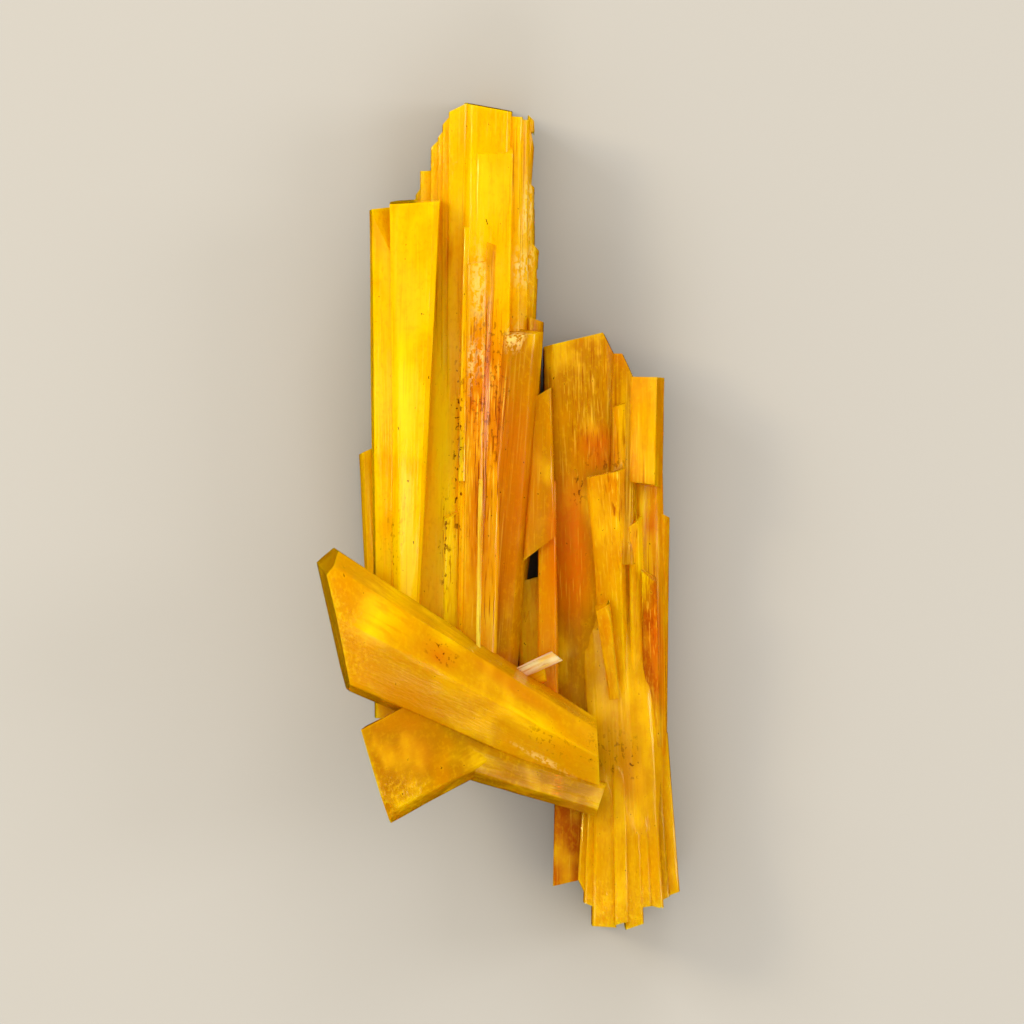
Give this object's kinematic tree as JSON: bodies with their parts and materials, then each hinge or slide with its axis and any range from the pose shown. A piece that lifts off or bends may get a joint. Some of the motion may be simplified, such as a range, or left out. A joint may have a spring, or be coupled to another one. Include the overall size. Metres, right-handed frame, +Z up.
{
  "type": "legrandite crystal cluster",
  "caption": "Cluster of long striated yellow prisms grown together, with one thick broken crystal lying across the front; a natural mineral specimen that rests on its flat back.",
  "frame": {"origin": "on the resting plane, under the middle of the specimen's bounding box", "axes": "+Y runs along the long prisms towards the tall tip, +X runs across the two bundles, +Z is up, out of the side that shows"},
  "size_m": [0.0219, 0.0502, 0.0142],
  "materials": {
    "legrandite": "glassy translucent yellow crystal with fine striations, amber and orange stains"
  },
  "bodies": {
    "root": {"legrandite_cluster": "legrandite"}
  },
  "joints": []
}
